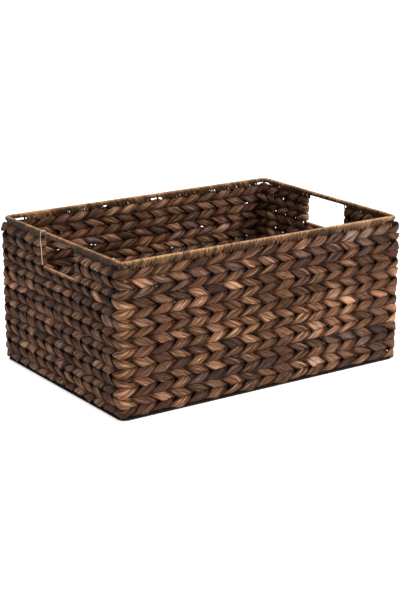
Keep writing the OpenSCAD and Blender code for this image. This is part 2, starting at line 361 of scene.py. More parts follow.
def sweep(path, out, half_t, half_w, profile, closed, tint,
          swap_uv=False, turn=None, thin_edge=None, painted_edge_shade=0.0):
    """Skin of a strand: a ring of points round each point of its path.

    out points to the strand's outer face, half_t is its half thickness that way and half_w its half
    width across. profile scales each point of each ring, and turn holds the points' angles. tint
    is the tone, the cast and the depth of shade of each ring, or of each point. thin_edge says how
    much each ring thins towards its edges, and the argument after it how much shade is painted there."""
    rings, sides = profile.shape
    if closed:
        along = unit(np.roll(path, -1, 0) - np.roll(path, 1, 0))
    else:
        along = unit(np.gradient(path, axis=0))
    out = unit(out - (out * along).sum(1, keepdims=True) * along)
    across = np.cross(along, out)
    if turn is None:
        turn = np.linspace(0, 2 * math.pi, sides, endpoint=False)
    depth = half_t[:, None] * np.cos(turn) * profile
    if thin_edge is not None:
        depth = depth * np.abs(np.cos(turn)) ** thin_edge[:, None]
    width = half_w[:, None] * np.sin(turn) * profile
    verts = path[:, None, :] + depth[:, :, None] * out[:, None, :] + width[:, :, None] * across[:, None, :]

    steps = rings if closed else rings - 1
    i, j = np.meshgrid(np.arange(steps), np.arange(sides), indexing="ij")
    i2, j2 = (i + 1) % rings, (j + 1) % sides
    quads = np.stack([i * sides + j, i * sides + j2, i2 * sides + j2, i2 * sides + j], -1).reshape(-1, 4)

    ends = np.vstack([path, path[:1]]) if closed else path
    length = np.concatenate([[0.0], np.cumsum(np.linalg.norm(np.diff(ends, axis=0), axis=1))])
    around = 2 * math.pi * float(np.mean((half_t + half_w) / 2)) / sides
    u = length[np.stack([i, i, i + 1, i + 1], -1)]
    v = np.stack([j, j + 1, j + 1, j], -1) * around
    uv = np.stack([v, u] if swap_uv else [u, v], -1).reshape(-1, 2)

    tints = np.repeat(tint, sides, 0) if len(tint) == rings else tint
    # painted shade towards the strand's edges
    if painted_edge_shade:
        edge_shade = np.tile(painted_edge_shade * np.abs(np.sin(turn)) ** EDGE_FADE, rings)
        tints[:, 2] = np.maximum(tints[:, 2], edge_shade)
    caps = [] if closed else [np.arange(sides)[::-1], (rings - 1) * sides + np.arange(sides)]
    return {"verts": verts.reshape(-1, 3), "quads": quads, "uv": uv, "tint": tints, "caps": caps}


def make_piece(name, skins, material, nodes):
    """One object from several skins, which stands for its CAD nodes."""
    base = np.cumsum([0] + [len(s["verts"]) for s in skins])
    verts = np.vstack([s["verts"] for s in skins])
    quads = np.vstack([s["quads"] + b for s, b in zip(skins, base)])
    caps = [c + b for s, b in zip(skins, base) for c in s["caps"]]
    corners = np.concatenate([quads.ravel()] + caps).astype(np.int32)
    totals = np.concatenate([np.full(len(quads), 4), [len(c) for c in caps]]).astype(np.int32)
    uv = np.vstack([s["uv"] for s in skins] + [np.zeros((len(c), 2)) for c in caps])
    tint = np.vstack([s["tint"] for s in skins])

    mesh = bpy.data.meshes.new(name)
    mesh.vertices.add(len(verts))
    mesh.vertices.foreach_set("co", verts.ravel().astype(np.float32))
    mesh.loops.add(len(corners))
    mesh.loops.foreach_set("vertex_index", corners)
    mesh.polygons.add(len(totals))
    mesh.polygons.foreach_set("loop_start", np.concatenate([[0], np.cumsum(totals)[:-1]]).astype(np.int32))
    mesh.polygons.foreach_set("loop_total", totals)
    mesh.update(calc_edges=True)
    mesh.polygons.foreach_set("use_smooth", np.ones(len(totals), bool))
    mesh.uv_layers.new(name="fibre").data.foreach_set("uv", uv.ravel().astype(np.float32))
    tone = mesh.attributes.new("tint", "FLOAT_COLOR", "POINT")
    rgba = np.hstack([tint, np.ones((len(tint), 1))])
    tone.data.foreach_set("color", rgba.ravel().astype(np.float32))
    mesh.validate()
    mesh.materials.append(material)

    piece = bpy.data.objects.new(name, mesh)
    bpy.context.scene.collection.objects.link(piece)
    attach(piece, BODY)
    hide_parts(*nodes)
    return piece


# ---- twining ----

# a stalk lasts from 3 to 9 leaves; its tone and its cast differ from the next stalk's
STALK_LEAVES = (3, 10)
STALK_TONE, STALK_TONE_SPREAD = 0.47, 0.10
STALK_CAST = (0.1, 0.9)
LEAF_TONE_SPREAD = 0.10
LEAF_CAST_SPREAD = 0.15
# the share of leaves whose dye has worn off, and how much paler they are
WORN_LEAVES, WORN_PALER = 0.05, 0.25
# a leaf over a corner post is pulled wide and shows more of its reddish cast
CORNER_CAST = (0.0, 0.25)
CORNER_PALER = 0.06
CORNER_WIDE = (0.6, 1.2)

# a fold sinks in deeper than it stands out, blends with its neighbours, and runs on along the leaf
FOLD_RANGE = (-2, 1.6)
FOLD_BLEND = 0.2
FOLD_RUN = 0.55
# the hidden face has shallower folds
BACK_FOLD = 0.3

# power by which a strand's crown fades into its waist
CROWN_FADE = 1.2
# about how far one leaf stands in or out, as a share of the crown's offset
LEAF_PUSH = 0.05
# shade where the two strands cross, and how soon it ends towards a crown
CROSSING_SHADE, CROSSING_END = 0.9, 2.2
# a strand bent round a jamb is drawn narrower
JAMB_NARROWING = 0.93

# each of the three courses below a hand opening is pressed by this share of the one above it
PRESSED_COURSES, PRESS_FADE = 3, 0.3
# in stakes: how far past the jamb the press ends, and over how far it fades
PRESS_END, PRESS_EASE = 0.3, 0.9


def leaf_table(rng, leaves):
    """What differs from leaf to leaf along one strand: width, place, roll, tone and cast."""
    table = {key: rng.normal(0, 1, leaves).clip(-2, 2) for key in ("wide", "lift", "push", "roll")}
    tones, casts = np.zeros(leaves), np.zeros(leaves)
    k = 0
    while k < leaves:
        stalk = int(rng.integers(*STALK_LEAVES))
        tones[k:k + stalk] = rng.normal(STALK_TONE, STALK_TONE_SPREAD)
        casts[k:k + stalk] = rng.uniform(*STALK_CAST)
        k += stalk
    paled = rng.uniform(0, 1, leaves) < WORN_LEAVES
    table["tone"] = (tones + rng.normal(0, LEAF_TONE_SPREAD, leaves) + WORN_PALER * paled).clip(0, 1)
    table["cast"] = (casts + rng.normal(0, LEAF_CAST_SPREAD, leaves)).clip(0, 1)
    return table


def ridge_table(rng, leaves, look):
    """Lengthwise folds: two random rings for each leaf, softened round the strand."""
    raw = rng.normal(0, 1, (2 * leaves, look.face_sides + look.back_sides)).clip(*FOLD_RANGE)
    fold = (1 - 2 * FOLD_BLEND) * raw + FOLD_BLEND * (np.roll(raw, 1, 1) + np.roll(raw, -1, 1))
    fold[1::2] = (1 - FOLD_RUN) * fold[1::2] + FOLD_RUN * fold[::2]
    return fold


def strand_rings(route, k, phase, lean, middle, look, table, ridges, squeeze=1.0, press=0.0):
    """Path and section of one strand of a twined pair, at stake numbers k.

    The pair turns half a turn from stake to stake, so this strand is outside at every other one,
    starting at phase. lean is 1 or -1, for the way the pair turns, and middle is the course's
    height. squeeze says how thick the mat is against the walls, and press how far the course is
    flattened, downwards, at each stake number."""
    turn = math.pi * (k - phase)
    across, rise = np.cos(turn), np.sin(turn)
    crown = np.abs(across) ** CROWN_FADE
    depth = np.sign(across) * np.abs(across) ** look.flat_face
    tall = 1 - press * np.ones(len(k))
    up = route.up

    point, normal = route.beside(k, depth * squeeze * (1 + LEAF_PUSH * ease(table["push"], k)))
    lift = middle + look.wander * ease(table["lift"], k) * crown - look.crown_half_w * (1 - tall)
    path = point + up * (lift + look.waist_rise * lean * rise * tall)[:, None]

    spin = turn - look.face_on * np.sin(2 * turn) + look.roll * ease(table["roll"], k) * lean * crown
    out = normal * np.cos(spin)[:, None] + up * (lean * np.sin(spin))[:, None]

    uneven = 1 + look.uneven * ease(table["wide"], k) * crown
    half_t = look.waist_half_t * (1 - crown) + look.crown_half_t * squeeze * crown
    half_t = half_t * (tall + (1 - tall) * crown)
    half_w = look.waist_half_w * squeeze * (1 - crown) + look.crown_half_w * crown
    half_w = (half_w - look.pinch * np.sin(2 * turn) ** 2) * uneven
    half_w = half_w * (1 - (1 - tall) * crown)
    fold = np.where(np.cos(ring_angles(look)) > 0, 1.0, BACK_FOLD)
    profile = 1 + look.ridge * fold * ease(ridges, 2 * k)

    hidden = CROSSING_SHADE * np.clip(1 - CROSSING_END * np.abs(across), 0, 1)
    tint = np.stack([ease(table["tone"], k), ease(table["cast"], k), hidden], 1)
    return {"path": path, "out": out, "half_t": half_t, "half_w": half_w, "profile": profile,
            "tint": tint, "thin_edge": look.thin_edge * crown}


def strand_skin(rings, closed, look):
    return sweep(closed=closed, turn=ring_angles(look), painted_edge_shade=look.painted_edge_shade, **rings)


def pressed(route, k, course, look):
    """How far the rods of the hand openings flatten a course at each stake number."""
    below = course - GRIP_COURSES - 1
    if below not in range(PRESSED_COURSES):
        return 0.0
    half = route.count / 2
    away = np.abs(np.mod(np.asarray(k) + half / 2, half) - half / 2)
    nearby = np.clip((JAMB_STAKE + PRESS_END - away) / PRESS_EASE, 0, 1)
    return look.press * PRESS_FADE ** below * nearby


def ring_course(route, course, lean, middle, look, rng):
    """Two strands that run right round the basket."""
    k = np.arange(route.count * look.rings) / look.rings
    corners = [END_STAKES // 2 + 1, END_STAKES // 2 + LONG_STAKES + 2]
    corners += [route.count // 2 + c for c in corners]
    skins = []
    for phase in (0, 1):
        table = leaf_table(rng, route.count)
        table["cast"][corners] = rng.uniform(*CORNER_CAST, len(corners))
        table["tone"][corners] += CORNER_PALER
        table["wide"][corners] = rng.uniform(*CORNER_WIDE, len(corners))
        table["lift"][corners] = 0.0
        ridges = ridge_table(rng, route.count, look)
        rings = strand_rings(route, k, phase, lean, middle, look, table, ridges,
                             press=pressed(route, k, course, look))
        skins.append(strand_skin(rings, True, look))
    return skins


def jamb_turn(route, k, look, middle, start, strand):
    """Half a turn round a jamb stake, from one face of the wall to the other."""
    steps = look.rings - 1
    turn = start + math.pi * np.arange(1, look.rings) / look.rings
    point, normal, travel = route.at(np.full(steps, float(k)))
    out = normal * np.cos(turn)[:, None] + travel * np.sin(turn)[:, None]
    ones = np.ones(steps)
    return {
        "path": point + out * look.crown_out + route.up * (middle * ones)[:, None],
        "out": out,
        "half_t": look.crown_half_t * ones,
        "half_w": look.crown_half_w * JAMB_NARROWING * ones,
        "profile": np.repeat(strand["profile"][-1:], steps, 0),
        "tint": np.repeat(strand["tint"][-1:] * [1, 1, 0], steps, 0),
        "thin_edge": look.thin_edge * ones,
    }


def half_course(route, first, last, lean, middle, look, rng):
    """One strand that goes out, turns round the jamb stake and comes back beside itself."""
    def strand(k, phase):
        return strand_rings(route, k, phase, lean, middle, look,
                            leaf_table(rng, route.count), ridge_table(rng, route.count, look))

    k = first + np.arange((last - first) * look.rings + 1) / look.rings
    away = strand(k, first)
    back = strand(k[::-1], first + 1)
    parts = [away, jamb_turn(route, last, look, middle, 0.0, away),
             back, jamb_turn(route, first, look, middle, math.pi, back)]
    whole = {key: np.concatenate([part[key] for part in parts]) for key in away}
    return [strand_skin(whole, True, look)]


# ---- wound strips ----

WRAP_RINGS, WRAP_SIDES = 6, 16
# one turn is thicker than the next by about this share
WRAP_WOBBLE = 0.0125
# the dye drifts over about ten turns, and differs from turn to turn
DRIFT_TURNS = 10
TURN_TONE_SPREAD = 0.10
TURN_CAST = (0.15, 0.6)
# shade in the grooves and on the rod's underside
GROOVE_SHADE = UNDER_SHADE = 0.8
# painted highlight: how much paler the top of a rod's strip is drawn; heights are in radii above the rod's
# axis
TOP_HIGHLIGHT = 0.9
HIGHLIGHT_FROM, SHADED_FROM = 0.3, 0.1


def wound(route, s0, s1, z, radius, pitch, groove, rng,
          closed=False, flat=1.0, inset=0.0, tone=(0.42, 0.12)):
    """A strip wound round a rod that follows the route from length s0 to s1.

    Its section is flat times as tall as it is wide and lies inset inside the route. tone is the dye's
    mean and its drift. The strip has a painted highlight on top and painted shade in its grooves and below."""
    count = max(int(round((s1 - s0) / pitch)), 1)
    rings = count * WRAP_RINGS
    s = s0 + (s1 - s0) * np.arange(rings + (0 if closed else 1)) / rings
    point, normal, _ = route.at(s)
    path = point - normal * inset + np.array([0.0, 0.0, z])
    turn = np.arange(WRAP_SIDES) / WRAP_SIDES
    phase = (s - s0)[:, None] * count / (s1 - s0) + turn[None, :]
    strip = np.floor(phase).astype(int)
    fall = np.abs(2 * (phase - strip) - 1) ** 3
    strips = count + 2
    profile = 1 - groove * fall + rng.normal(0, WRAP_WOBBLE, strips)[strip]
    slow = np.arange(0, strips + DRIFT_TURNS, DRIFT_TURNS)
    drift = np.interp(np.arange(strips), slow, rng.normal(0, 1, len(slow)))
    tones = (tone[0] + tone[1] * drift + rng.normal(0, TURN_TONE_SPREAD, strips)).clip(0, 1)
    casts = rng.uniform(*TURN_CAST, strips)
    tint = np.stack([tones[strip], casts[strip], GROOVE_SHADE * fall ** 2], -1).reshape(-1, 3)
    ones = np.ones(len(s))
    skin = sweep(path, normal, radius * ones, radius * flat * ones, profile, closed, tint, swap_uv=True)
    # painted highlight on the top of the strip, and painted shade on its underside
    rise = (skin["verts"][:, 2] - z) / radius
    under = UNDER_SHADE * np.clip(SHADED_FROM - rise, 0, 1)
    skin["tint"][:, 0] += TOP_HIGHLIGHT * np.clip(rise - HIGHLIGHT_FROM, 0, 1)
    skin["tint"][:, 2] = np.maximum(skin["tint"][:, 2], under)
    return skin


# ---- finishes ----

def add_node(tree, kind, links=None, values=None, stops=None, **settings):
    """Adds a node with its settings, its socket values, its links and, on a ramp, its colour stops."""
    made = tree.nodes.new(kind)
    for key, value in settings.items():
        setattr(made, key, value)
    for socket, value in (values or {}).items():
        made.inputs[socket].default_value = value
    for socket, source in (links or {}).items():
        tree.links.new(source, made.inputs[socket])
    for n, (place, colour) in enumerate(stops or []):
        if n < 2:
            element = made.color_ramp.elements[n]
        else:
            element = made.color_ramp.elements.new(place)
        element.position = place
        element.color = (*colour, 1.0)
    return made


def new_finish(name):
    """An empty finish and its node tree."""
    finish = bpy.data.materials.new(name)
    finish.use_nodes = True
    finish.node_tree.nodes.clear()
    return finish, finish.node_tree


STALK_DYES = ("espresso", "umber", "brown", "tan", "straw")
STRIP_DYES = ("espresso", "umber", "ochre", "gold", "straw")
# the foot strip's dyes are darkened, as painted shade along the basket's foot
FOOT_SHADED_DYES = ("wire", "espresso", "espresso", "umber", "umber")
# how strongly a stalk's cast shows, and the colour that its dye is multiplied by where shade is painted: deep
# in the weave, along edges, in grooves and under rods
CAST_STRENGTH = 0.55
PAINTED_SHADE_COLOUR = (0.25, 0.12, 0.06, 1.0)


def dyed_stalk(name, dyes, colours, fibre=(30 * MM, 1.2 * MM), lighten=0.0, gloss=0.2):
    """Water hyacinth stalk, dried, dyed dark and lightly waxed.

    The eye sees long pale fibres in the folds of a dark, slightly shiny skin. Real fibres are about
    0.3 mm apart, and are drawn about 1 mm apart so that they show: fibre is the length and width
    of a drawn one. dyes are the stalk's colours from its darkest to where it is worn."""
    finish, tree = new_finish(name)
    shades = [getattr(colours, dye) for dye in dyes]
    long, wide = fibre
    tint = add_node(tree, "ShaderNodeAttribute", attribute_name="tint", attribute_type="GEOMETRY")
    split = add_node(tree, "ShaderNodeSeparateColor", links={"Color": tint.outputs["Color"]})
    # the tint's third channel is the depth of painted shade
    tone, cast, dive = split.outputs
    uv = add_node(tree, "ShaderNodeUVMap", uv_map="fibre")
    place = add_node(tree, "ShaderNodeMapping", links={"Vector": uv.outputs["UV"]},
                     values={"Scale": (1 / long, 1 / wide, 1.0)})
    streak = add_node(tree, "ShaderNodeTexNoise", links={"Vector": place.outputs["Vector"]},
                      values={"Scale": 1.0, "Detail": 5.0, "Roughness": 0.72, "Distortion": 0.7})
    # blotches three fibres wide, moved so that they don't repeat the streaks
    coarse_place = add_node(tree, "ShaderNodeMapping", links={"Vector": uv.outputs["UV"]},
                            values={"Scale": (1 / long, 1 / (3 * wide), 1.0), "Location": (3.1, 7.7, 0.0)})
    blotch = add_node(tree, "ShaderNodeTexNoise", links={"Vector": coarse_place.outputs["Vector"]},
                      values={"Scale": 1.0, "Detail": 2.0, "Roughness": 0.5})
    # each noise averages a half, so half of both gains is taken off again
    streak_gain, blotch_gain = 3.0, 0.9
    fine = add_node(tree, "ShaderNodeMath", operation="MULTIPLY_ADD",
                    links={0: streak.outputs["Fac"]},
                    values={1: streak_gain, 2: lighten - (streak_gain + blotch_gain) / 2})
    broad = add_node(tree, "ShaderNodeMath", operation="MULTIPLY_ADD",
                     links={0: blotch.outputs["Fac"], 2: fine.outputs[0]}, values={1: blotch_gain})
    shade = add_node(tree, "ShaderNodeMath", operation="ADD", links={0: tone, 1: broad.outputs[0]})
    ramp = add_node(tree, "ShaderNodeValToRGB", links={"Fac": shade.outputs[0]}, stops=[
        (0.0, shades[0]), (1.0, shades[4]), (0.27, shades[1]), (0.52, shades[2]), (0.78, shades[3])])
    casts = add_node(tree, "ShaderNodeValToRGB", links={"Fac": cast}, stops=[
        (0.0, colours.russet), (1.0, colours.slate), (0.22, colours.ochre), (0.45, shades[2]),
        (0.7, shades[2])])
    dyed = add_node(tree, "ShaderNodeMix", data_type="RGBA", blend_type="COLOR",
                    links={6: ramp.outputs["Color"], 7: casts.outputs["Color"]},
                    values={0: CAST_STRENGTH})
    # painted shade: the dye is multiplied towards a dark colour by the tint's third channel
    deep = add_node(tree, "ShaderNodeMix", data_type="RGBA", blend_type="MULTIPLY",
                    links={0: dive, 6: dyed.outputs[2]}, values={7: PAINTED_SHADE_COLOUR})
    rough = add_node(tree, "ShaderNodeMapRange", links={"Value": streak.outputs["Fac"]},
                     values={"From Min": 0.3, "From Max": 0.7, "To Min": 0.72, "To Max": 0.48})
    relief = add_node(tree, "ShaderNodeBump", links={"Height": broad.outputs[0]},
                      values={"Strength": 1.0, "Distance": 0.6 * MM})
    skin = add_node(tree, "ShaderNodeBsdfPrincipled",
                    links={"Base Color": deep.outputs[2], "Roughness": rough.outputs["Result"],
                           "Normal": relief.outputs["Normal"]},
                    values={"IOR": 1.45, "Specular IOR Level": gloss})
    add_node(tree, "ShaderNodeOutputMaterial", links={"Surface": skin.outputs["BSDF"]})
    return finish


def lacquered_wire(colours):
    """Steel wire under a dark lacquer, with the faint orange peel of a dipped coat."""
    finish, tree = new_finish("lacquered_wire")
    peel_scale = 0.9 / MM
    palest = [c * 1.6 for c in colours.wire]
    place = add_node(tree, "ShaderNodeTexCoord")
    peel = add_node(tree, "ShaderNodeTexNoise", links={"Vector": place.outputs["Object"]},
                    values={"Scale": peel_scale, "Detail": 2.0})
    tone = add_node(tree, "ShaderNodeMix", data_type="RGBA", links={0: peel.outputs["Fac"]},
                    values={6: (*colours.wire, 1.0), 7: (*palest, 1.0)})
    relief = add_node(tree, "ShaderNodeBump", links={"Height": peel.outputs["Fac"]},
                      values={"Strength": 0.2, "Distance": 0.2 * MM})
    coat = add_node(tree, "ShaderNodeBsdfPrincipled",
                    links={"Base Color": tone.outputs[2], "Normal": relief.outputs["Normal"]},
                    values={"Roughness": 0.35, "IOR": 1.5})
    add_node(tree, "ShaderNodeOutputMaterial", links={"Surface": coat.outputs["BSDF"]})
    return finish


def spun_thread(colours):
    """Undyed spun thread: pale and matt, with painted shade in the slanting grooves between its plies."""
    finish, tree = new_finish("spun_thread")
    # the wave repeats about three times in one unit, so a ply shows about every 0.35 mm
    ply_scale = 0.9 / MM
    twist = math.radians(35)
    # painted shade in the grooves between the plies
    shade_between_plies = [c * 0.7 for c in colours.thread]
    uv = add_node(tree, "ShaderNodeUVMap", uv_map="fibre")
    place = add_node(tree, "ShaderNodeMapping", links={"Vector": uv.outputs["UV"]},
                     values={"Rotation": (0.0, 0.0, twist), "Scale": (ply_scale, ply_scale, 1.0)})
    plies = add_node(tree, "ShaderNodeTexWave", links={"Vector": place.outputs["Vector"]},
                     values={"Scale": 1.0, "Distortion": 1.5})
    tone = add_node(tree, "ShaderNodeMix", data_type="RGBA", links={0: plies.outputs["Fac"]},
                    values={6: (*shade_between_plies, 1.0), 7: (*colours.thread, 1.0)})
    yarn = add_node(tree, "ShaderNodeBsdfPrincipled", links={"Base Color": tone.outputs[2]},
                    values={"Roughness": 0.85})
    add_node(tree, "ShaderNodeOutputMaterial", links={"Surface": yarn.outputs["BSDF"]})
    return finish


def lit_acrylic(colours):
    """White acrylic table, lit from below, so that a shadow on it stays faint."""
    finish, tree = new_finish("lit_acrylic")
    paint = add_node(tree, "ShaderNodeBsdfPrincipled",
                     values={"Base Color": (*colours.floor, 1.0), "Roughness": 0.9,
                             "Specular IOR Level": 0.1, "Emission Color": (1.0, 1.0, 1.0, 1.0),
                             "Emission Strength": 0.55})
    add_node(tree, "ShaderNodeOutputMaterial", links={"Surface": paint.outputs["BSDF"]})
    return finish


# ---- operators ----

class BASKET_OT_twine_walls(bpy.types.Operator):
    """Twine the fifteen courses of the walls"""
    bl_idname = "basket.twine_walls"
    bl_label = "Twine Walls"

    def execute(self, context):
        look, colours = context.scene.basket_weave, context.scene.basket_colours
        finish = dyed_stalk("dyed_water_hyacinth", STALK_DYES, colours)
        route = StakeRoute(look)
        # the last course stands a little further in than the others
        foot_route = StakeRoute(look, outset=-0.9 * MM)
        half = route.count // 2
        sides = {"front": (JAMB_STAKE, half - JAMB_STAKE),
                 "back": (half + JAMB_STAKE, route.count - JAMB_STAKE)}
        for course in range(1, COURSES + 1):
            rng = np.random.default_rng(SEEDS["walls"] + course)
            # odd courses lean one way and even courses the other
            lean = 1 if course % 2 else -1
            label = f"course_{course:02d}"
            if course <= GRIP_COURSES:
                for side, (first, last) in sides.items():
                    node = f"{label}_{side}"
                    lo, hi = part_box(node)
                    skins = half_course(route, first, last, lean, (lo.z + hi.z) / 2, look, rng)
                    make_piece(f"twined_{node}", skins, finish, [node])
            else:
                lo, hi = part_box(label)
                way = foot_route if course == COURSES else route
                skins = ring_course(way, course, lean, (lo.z + hi.z) / 2, look, rng)
                make_piece(f"twined_{label}", skins, finish, [label])
        return {"FINISHED"}


class BASKET_OT_twine_base(bpy.types.Operator):
    """Twine the courses of the base over its cross rods"""
    bl_idname = "basket.twine_base"
    bl_label = "Twine Base"

    def execute(self, context):
        look, colours = context.scene.basket_weave, context.scene.basket_colours
        finish = dyed_stalk("dyed_water_hyacinth_base", STALK_DYES, colours)
        rods_lo, rods_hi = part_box("cross_rods")
        first_x = rods_lo.x + (rods_hi.z - rods_lo.z) / 2
        last_rod = CROSS_RODS - 1
        leaves = CROSS_RODS + 4
        # how far the strands fill the mat's thickness and its rows
        thick_fill, row_fill = 0.98, 1.02
        # how far they stop short of the mat's ends, in rods, and of its underside
        short, clear = 0.06, 0.1 * MM
        for pair in range(1, BASE_PAIRS + 1):
            node = f"base_pair_{pair:02d}"
            lo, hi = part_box(node)
            # the mat is thinner than the walls, so its strands are pressed flatter
            squeeze = (hi.z - lo.z) / 2 / (look.crown_out + look.crown_half_t) * thick_fill
            end = (hi.x - first_x) / LONG_PITCH - last_rod - short
            k = np.linspace(-end, last_rod + end, int((last_rod + 2 * end) * look.rings))
            rng = np.random.default_rng(SEEDS["base"] + pair)
            skins = []
            for row, lean in ((0.25, 1), (0.75, -1)):
                y = lo.y + (hi.y - lo.y) * row
                route = BarRoute(y, (lo.z + hi.z) / 2, first_x, look.crown_out)
                for phase in (0, 1):
                    table, ridges = leaf_table(rng, leaves), ridge_table(rng, leaves, look)
                    rings = strand_rings(route, k, phase, lean, 0.0, look, table, ridges, squeeze)
                    rings["half_w"] *= (hi.y - lo.y) / 4 / look.crown_half_w * row_fill
                    skin = strand_skin(rings, False, look)
                    # the weight of the basket flattens whatever would stand out of the mat
                    skin["verts"][:, 2] = skin["verts"][:, 2].clip(lo.z + clear, hi.z)
                    skins.append(skin)
            make_piece(f"twined_{node}", skins, finish, [node])
        return {"FINISHED"}


class BASKET_OT_wind_rim(bpy.types.Operator):
    """Wind the strips round the rim rod, the two grips and the two sills"""
    bl_idname = "basket.wind_rim"
    bl_label = "Wind Rim"

    def execute(self, context):
        wraps, colours = context.scene.basket_wraps, context.scene.basket_colours
        finish = dyed_stalk("wound_strip", STRIP_DYES, colours, fibre=(9 * MM, 0.8 * MM),
                            lighten=0.05, gloss=0.35)
        route = WallRoute()
        gap = 0.15 * MM
        corner, whole = route.starts, route.length
        spans = {
            "rim_wrap_front": [(corner[1], corner[4])],
            "rim_wrap_back": [(corner[5], corner[8])],
            "rim_wrap_left": [(JAMB_Y, corner[1]), (corner[8], whole - JAMB_Y)],
            "rim_wrap_right": [(corner[4], whole / 2 - JAMB_Y), (whole / 2 + JAMB_Y, corner[5])],
            "left_grip_wrap": [(whole - JAMB_Y, whole + JAMB_Y)],
            "right_grip_wrap": [(whole / 2 - JAMB_Y, whole / 2 + JAMB_Y)],
        }
        for n, (node, stretches) in enumerate(spans.items()):
            rng = np.random.default_rng(SEEDS["rim"] + n)
            skins = [wound(route, a + gap, b - gap, RIM_Z, WRAP_R, wraps.pitch, wraps.groove, rng)
                     for a, b in stretches]
            make_piece(f"wound_{node}", skins, finish, [node])
        for n, (side, middle) in enumerate((("left", whole), ("right", whole / 2))):
            node = f"{side}_sill_wrap"
            lo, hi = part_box(node)
            rng = np.random.default_rng(SEEDS["sills"] + n)
            skin = wound(route, middle + lo.y, middle + hi.y, (lo.z + hi.z) / 2, SILL_WRAP_R,
                         wraps.pitch, wraps.groove, rng)
            make_piece(f"wound_{node}", [skin], finish, [node])
        return {"FINISHED"}


# mean tone of the lashings on each wall: partly the dye's tone and partly painted light and shade, darkest on
# the left wall, which faces away from the key light
WALL_LASHING_TONE_AND_SHADE = {"left": 0.14, "front": 0.36, "right": 0.26, "back": 0.32}
LASHING_TONE_SPREAD, STRIP_TONE_SPREAD = 0.12, 0.06
LASHING_CAST = (0.1, 0.55)
# how often a lashing goes on with a strip of another stalk
NEW_STALK = 0.2
# tone and cast of the last two lashings of the back wall
GOLDEN_TONE, GOLDEN_CAST = 0.66, 0.18
# how far a lashing reaches to each side, as a share of half the way to the next stake
LASHING_REACH = (0.75, 1.05)
LASHING_AT_JAMB = 5 * MM
# from one strip to the next, as a share of a strip's width
STRIP_STEP = 0.7
# sideways lean per length of drop, and how much further than the tuck a strip is drawn down
STRIP_LEAN, STRIP_LEAN_SPREAD = 0.45, 0.2
STRIP_DEPTH = (-1.5 * MM, 1.2 * MM)
# how deep a strip sinks into the wound strip of the rim
STRIP_SINK = 0.35 * MM
# a strip's shade starts this high above the rod's axis and comes on over this drop
STRIP_SHADE, STRIP_SHADE_FROM, STRIP_SHADE_EASE = 0.55, 1 * MM, 4 * MM
# its painted highlight starts this many radii above the axis
STRIP_HIGHLIGHT, STRIP_HIGHLIGHT_FROM = 0.95, 0.35


